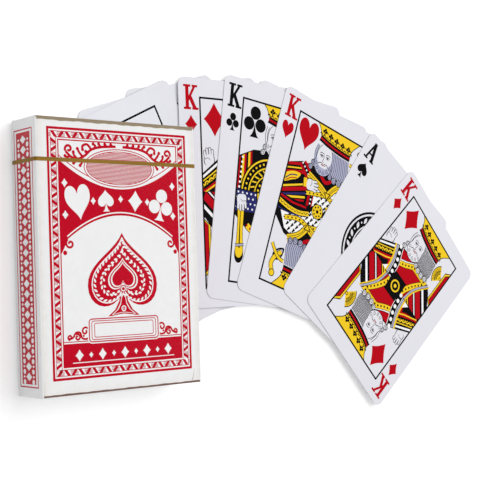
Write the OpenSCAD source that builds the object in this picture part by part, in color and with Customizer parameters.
// A pack of playing cards: a film-wrapped tuck box that lies on a fan of face-up cards.
// Lengths are in millimetres. The box lies on its back: front panel up, lid end towards +Y.
// Box coordinates: across from its left side, along from its bottom end, up from its back panel.

/* [Cards] */
// width of a card
card_w = 63; // [57:0.5:64]
// length of a card
card_l = 88; // [86:0.5:89]
// thickness of a card
card_t = 0.27; // [0.24:0.01:0.28]
// radius of a card's corners
card_r = 3.3; // [2:0.1:5]
// air between neighbouring cards of the fan
fan_gap = 0.05; // [0.03:0.01:0.1]
// air between neighbouring cards in the box
pack_gap = 0.005; // [0.002:0.001:0.01]

/* [Fan] */
// the box's right side to the fan's turning point
pivot_out = 37; // [33:1:45]
// the box's bottom end down to the fan's turning point
pivot_below = 37; // [30:1:45]
// turning point to the inner end of each card
fan_inner_r = 63; // [55:1:75]
// turn of the ten of spades, the lowest card, anticlockwise from upright
ten_spades_angle = 9.2; // [7:0.2:11]
// turn of the jack of hearts
jack_hearts_angle = 17.8; // [16:0.2:20]
// turn of the queen of clubs
queen_clubs_angle = 25.6; // [24:0.2:26]
// turn of the queen of spades, which the next three cards hide but for its corner
queen_spades_angle = -15.4; // [-17:0.2:-13]
// turn of the king of diamonds at the left
king_left_angle = 0.2; // [-1:0.2:1]
// turn of the king of clubs
king_clubs_angle = -8.4; // [-10:0.2:-6]
// turn of the king of hearts
king_hearts_angle = -20.4; // [-24:0.2:-18]
// turn of the ace of spades
ace_spades_angle = -39.6; // [-42:0.2:-34]
// turn of the king of diamonds at the front, the uppermost card
king_front_angle = -50.4; // [-54:0.2:-46]

/* [Tuck box] */
// room beside the cards at each side
side_play = 0.6; // [0.5:0.05:1.5]
// room between the cards and the lid end's dust flaps
end_play = 1.5; // [0.5:0.1:3]
// room over the whole deck
deck_play = 0.35; // [0.3:0.05:2]
// thickness of the board
board_t = 0.4; // [0.3:0.05:0.5]
// outer radius of the long creases
crease_r = 0.8; // [0.5:0.1:1.2]
// gap left at a crease between two panels
crease_gap = 0.02; // [0.01:0.01:0.05]
// gap between flaps folded over each other
fold_gap = 0.1; // [0.05:0.01:0.2]
// gap between the lid's front edge and the front panel
lid_gap = 0.15; // [0.1:0.05:0.3]
// length of the flap that tucks in behind the front panel
tuck_l = 9; // [7:0.5:10]
// turn of the tuck flap away from the front panel
tuck_angle = 10; // [8:0.5:14]
// margin of the tuck flap at each side
tuck_margin = 0.9; // [0.6:0.1:3]
// radius of the tuck flap's free corners
tuck_r = 4; // [2:0.5:7]
// length of the two dust flaps under the lid
dust_l = 13; // [8:0.5:15]
// dust flap's start above the back panel
dust_back = 0.9; // [0.6:0.1:2]
// dust flap's end below the front panel
dust_front = 4; // [3.5:0.1:6]
// slope of a dust flap's edge towards the lid crease
dust_taper_share = 0.42; // [0.38:0.01:0.6]
// length of the bottom dust flaps
bottom_dust_l = 15; // [10:0.5:25]
// width of the glue flap inside the right side
glue_w = 11; // [8:0.5:13]
// margin of the glue flap at its ends
glue_margin = 4; // [3:0.5:8]
// length of the bottom's inner flap, as a share of the box's depth
inner_flap_share = 0.8; // [0.5:0.05:0.9]

/* [Film and tape] */
// thickness of the clear film
film_t = 0.05; // [0.03:0.01:0.06]
// air between the film and the board
film_gap = 0.05; // [0.03:0.01:0.1]
// lid end of the box to the tear tape
tape_below_lid = 13.5; // [10:0.1:20]
// width of the tear tape
tape_w = 1.3; // [1:0.1:2.5]
// gap between the tear tape and the film beside it
tape_gap = 0.03; // [0.02:0.01:0.05]

/* [Cards left in the box] */
// spades in the box
boxed_spade_count = 9; // [1:1:9]
// hearts in the box
boxed_heart_count = 11; // [1:1:11]
// diamonds in the box
boxed_diamond_count = 12; // [1:1:12]
// clubs in the box
boxed_club_count = 11; // [1:1:11]
// jokers in the box
boxed_joker_count = 2; // [1:1:2]
// free length under the boxed cards
boxed_rise = 0.2; // [0.1:0.1:1]

/* [Hidden] */
$fn = 48;
half_share = 0.5;

angles = [ten_spades_angle, jack_hearts_angle, queen_clubs_angle, queen_spades_angle, king_left_angle,
          king_clubs_angle, king_hearts_angle, ace_spades_angle, king_front_angle];
fan_pitch = card_t + fan_gap;
pack_pitch = card_t + pack_gap;
film_out = film_gap + film_t;
half_w = card_w * half_share;
half_l = card_l * half_share;

// levels at the bottom end, upwards from its outer face
inner_flap_at = board_t + fold_gap;
bottom_dust_at = inner_flap_at + board_t + fold_gap;
boxed_at = bottom_dust_at + board_t + boxed_rise;

// the box is folded round its cards: it holds the whole deck, the fan's cards too
boxed_count = boxed_spade_count + boxed_heart_count + boxed_diamond_count + boxed_club_count
            + boxed_joker_count;
box_w = card_w + side_play + side_play + board_t + board_t;
box_l = boxed_at + card_l + end_play + board_t + fold_gap + board_t;
box_d = (boxed_count + len(angles)) * pack_pitch + deck_play + board_t + board_t;

// the fan, and the cards of it that carry the box because they reach under it
pivot_x = box_w + pivot_out;
fan_r = fan_inner_r + half_l;
function mid_x(a) = pivot_x - fan_r * sin(a);
function mid_y(a) = fan_r * cos(a) - pivot_below;
function reach_x(a) = (half_w - card_r) * abs(cos(a)) + (half_l - card_r) * abs(sin(a)) + card_r;
function reach_y(a) = (half_w - card_r) * abs(sin(a)) + (half_l - card_r) * abs(cos(a)) + card_r;
under = len([for (a = angles) if (mid_x(a) - reach_x(a) < box_w + film_out) a]);
box_z = under * fan_pitch + film_out;

// the frame's origin: middle of the whole footprint, on the table
x_low = min(-film_out, min([for (a = angles) mid_x(a) - reach_x(a)]));
x_high = max(box_w + film_out, max([for (a = angles) mid_x(a) + reach_x(a)]));
y_low = min(-film_out, min([for (a = angles) mid_y(a) - reach_y(a)]));
y_high = max(box_l + film_out, max([for (a = angles) mid_y(a) + reach_y(a)]));
origin_x = (x_low + x_high) * half_share;
origin_y = (y_low + y_high) * half_share;

// levels at the lid end, downwards from the lid's outer face
lid_under = box_l - board_t;
dust_top = lid_under - fold_gap;
dust_under = dust_top - board_t;
lid_front = box_d - board_t - lid_gap;
tuck_root = lid_under - crease_gap;
tape_at = box_l - tape_below_lid - tape_w;
boxed_z = board_t + fan_gap;

module on_table() { translate([-origin_x, -origin_y, 0]) children(); }
module at_box() { on_table() translate([0, 0, box_z]) children(); }
// a flat shape across and up, drawn out along the box from a to b
module along(a, b) { translate([0, b, 0]) rotate([90, 0, 0]) linear_extrude(b - a) children(); }
module plate(low, high) { translate(low) cube(high - low); }

module card_outline() {
    square([card_w, card_l - card_r - card_r], center = true);
    square([card_w - card_r - card_r, card_l], center = true);
    for (sx = [-1, 1], sy = [-1, 1])
        translate([sx * (half_w - card_r), sy * (half_l - card_r)]) circle(card_r);
}

module fan_card(i) {
    on_table() translate([pivot_x, -pivot_below, i * fan_pitch]) rotate([0, 0, angles[i]])
        translate([0, fan_r, 0]) linear_extrude(card_t) card_outline();
}

module boxed_cards(first, count) {
    at_box() for (i = [first : first + count - 1])
        translate([box_w * half_share, boxed_at + half_l, boxed_z + i * pack_pitch])
            linear_extrude(card_t) card_outline();
}

// quarter of a bent crease, its round corner towards the origin
module crease_ring() {
    difference() {
        intersection() {
            translate([crease_r, crease_r]) circle(crease_r);
            square([crease_r, crease_r]);
        }
        translate([crease_r, crease_r]) circle(crease_r - board_t);
    }
}

module side_profile() {
    translate([0, crease_r]) square([board_t, box_d - crease_r - crease_r]);
    crease_ring();
    translate([0, box_d]) mirror([0, 1]) crease_ring();
}

// rounded outline of the box's cross section, grown by g
module section(g) {
    translate([-g, crease_r]) square([box_w + g + g, box_d - crease_r - crease_r]);
    translate([crease_r, -g]) square([box_w - crease_r - crease_r, box_d + g + g]);
    for (x = [crease_r, box_w - crease_r], y = [crease_r, box_d - crease_r])
        translate([x, y]) circle(crease_r + g);
}

module film_band() {
    difference() {
        section(film_out);
        section(film_gap);
    }
}

// panels of the box
module front_panel() {
    color([0.93, 0.9, 0.9]) at_box()
        plate([crease_r + crease_gap, 0, box_d - board_t], [box_w - crease_r - crease_gap, box_l, box_d]);
}
module back_panel() {
    color([0.93, 0.9, 0.9]) at_box()
        plate([crease_r + crease_gap, 0, 0],
              [box_w - crease_r - crease_gap, lid_under - crease_gap, board_t]);
}
module side_panel_left() {
    color([0.75, 0.1, 0.18]) at_box() along(0, dust_top) side_profile();
}
module side_panel_right() {
    color([0.75, 0.1, 0.18]) at_box() along(0, dust_top)
        translate([box_w, 0]) mirror([1, 0]) side_profile();
}
module glue_flap() {
    color([0.8, 0.78, 0.74]) at_box()
        plate([box_w - board_t - crease_gap - board_t, glue_margin, crease_r],
              [box_w - board_t - crease_gap, box_l - glue_margin, crease_r + glue_w]);
}

// bottom closure, glued
module bottom_outer_flap() {
    color([0.93, 0.9, 0.9]) at_box()
        plate([crease_r, 0, board_t + crease_gap], [box_w - crease_r, board_t, box_d - board_t - crease_gap]);
}
module bottom_inner_flap() {
    color([0.8, 0.78, 0.74]) at_box()
        plate([crease_r, inner_flap_at, board_t + crease_gap],
              [box_w - crease_r, inner_flap_at + board_t, box_d * inner_flap_share]);
}
module bottom_dust_flap_left() {
    color([0.8, 0.78, 0.74]) at_box()
        plate([board_t + crease_gap, bottom_dust_at, crease_r],
              [board_t + bottom_dust_l, bottom_dust_at + board_t, box_d - crease_r]);
}
module bottom_dust_flap_right() {
    color([0.8, 0.78, 0.74]) at_box()
        plate([box_w - board_t - bottom_dust_l, bottom_dust_at, crease_r],
              [box_w - board_t - crease_gap, bottom_dust_at + board_t, box_d - crease_r]);
}

// lid end: lid, its tuck flap and the two dust flaps below it
module lid_panel() {
    color([0.93, 0.9, 0.9]) at_box()
        plate([board_t, lid_under, 0], [box_w - board_t, box_l, lid_front]);
}
module tuck_outline() {
    w = box_w - tuck_margin - tuck_margin;
    translate([tuck_margin, tuck_r - tuck_l]) square([w, tuck_l - tuck_r]);
    translate([tuck_margin + tuck_r, -tuck_l]) square([w - tuck_r - tuck_r, tuck_l]);
    for (x = [tuck_margin + tuck_r, box_w - tuck_margin - tuck_r])
        translate([x, tuck_r - tuck_l]) circle(tuck_r);
}
module tuck_flap() {
    color([0.8, 0.78, 0.74]) at_box() translate([0, tuck_root, lid_front - board_t])
        rotate([tuck_angle, 0, 0]) linear_extrude(board_t) tuck_outline();
}
// dust flap seen from the lid end: across from its crease, up from the back panel
module dust_outline() {
    polygon([[0, dust_back], [dust_l, dust_back + dust_l * dust_taper_share],
             [dust_l, box_d - dust_front - board_t - board_t], [0, box_d - dust_front]]);
}
module dust_flap_left() {
    color([0.8, 0.78, 0.74]) at_box() along(dust_under, dust_top)
        translate([board_t + crease_gap, 0]) dust_outline();
}
module dust_flap_right() {
    color([0.8, 0.78, 0.74]) at_box() along(dust_under, dust_top)
        translate([box_w - board_t - crease_gap, 0]) mirror([1, 0]) dust_outline();
}

// clear film: a sleeve below the tear tape, a cap above it
module wrap_sleeve() {
    color([0.9, 0.95, 1, 0.35]) at_box() {
        along(-film_gap, tape_at - tape_gap) film_band();
        along(-film_out, -film_gap) section(film_out);
    }
}
module wrap_cap() {
    color([0.9, 0.95, 1, 0.35]) at_box() {
        along(tape_at + tape_w + tape_gap, box_l + film_gap) film_band();
        along(box_l + film_gap, box_l + film_out) section(film_out);
    }
}
module tear_tape() {
    color([0.72, 0.6, 0.3]) at_box() along(tape_at, tape_at + tape_w) film_band();
}

// the fan, lowest card first
module ten_of_spades() { color([0.95, 0.95, 0.97]) fan_card(0); }
module jack_of_hearts() { color([0.94, 0.94, 0.96]) fan_card(1); }
module queen_of_clubs() { color([0.95, 0.95, 0.97]) fan_card(2); }
module queen_of_spades() { color([0.94, 0.94, 0.96]) fan_card(3); }
module king_of_diamonds_left() { color([0.95, 0.95, 0.97]) fan_card(4); }
module king_of_clubs() { color([0.94, 0.94, 0.96]) fan_card(5); }
module king_of_hearts() { color([0.95, 0.95, 0.97]) fan_card(6); }
module ace_of_spades() { color([0.94, 0.94, 0.96]) fan_card(7); }
module king_of_diamonds_front() { color([0.95, 0.95, 0.97]) fan_card(8); }

// the cards still in the box, against its back panel
heart_first = boxed_spade_count;
diamond_first = heart_first + boxed_heart_count;
club_first = diamond_first + boxed_diamond_count;
joker_first = club_first + boxed_club_count;
module boxed_spades() { color([0.95, 0.95, 0.97]) boxed_cards(0, boxed_spade_count); }
module boxed_hearts() { color([0.94, 0.94, 0.96]) boxed_cards(heart_first, boxed_heart_count); }
module boxed_diamonds() { color([0.95, 0.95, 0.97]) boxed_cards(diamond_first, boxed_diamond_count); }
module boxed_clubs() { color([0.94, 0.94, 0.96]) boxed_cards(club_first, boxed_club_count); }
module boxed_jokers() { color([0.95, 0.95, 0.97]) boxed_cards(joker_first, boxed_joker_count); }

front_panel();
back_panel();
side_panel_left();
side_panel_right();
glue_flap();
bottom_outer_flap();
bottom_inner_flap();
bottom_dust_flap_left();
bottom_dust_flap_right();
lid_panel();
tuck_flap();
dust_flap_left();
dust_flap_right();
wrap_sleeve();
wrap_cap();
tear_tape();
queen_of_clubs();
jack_of_hearts();
ten_of_spades();
king_of_diamonds_left();
king_of_clubs();
queen_of_spades();
king_of_hearts();
ace_of_spades();
king_of_diamonds_front();
boxed_spades();
boxed_hearts();
boxed_diamonds();
boxed_clubs();
boxed_jokers();
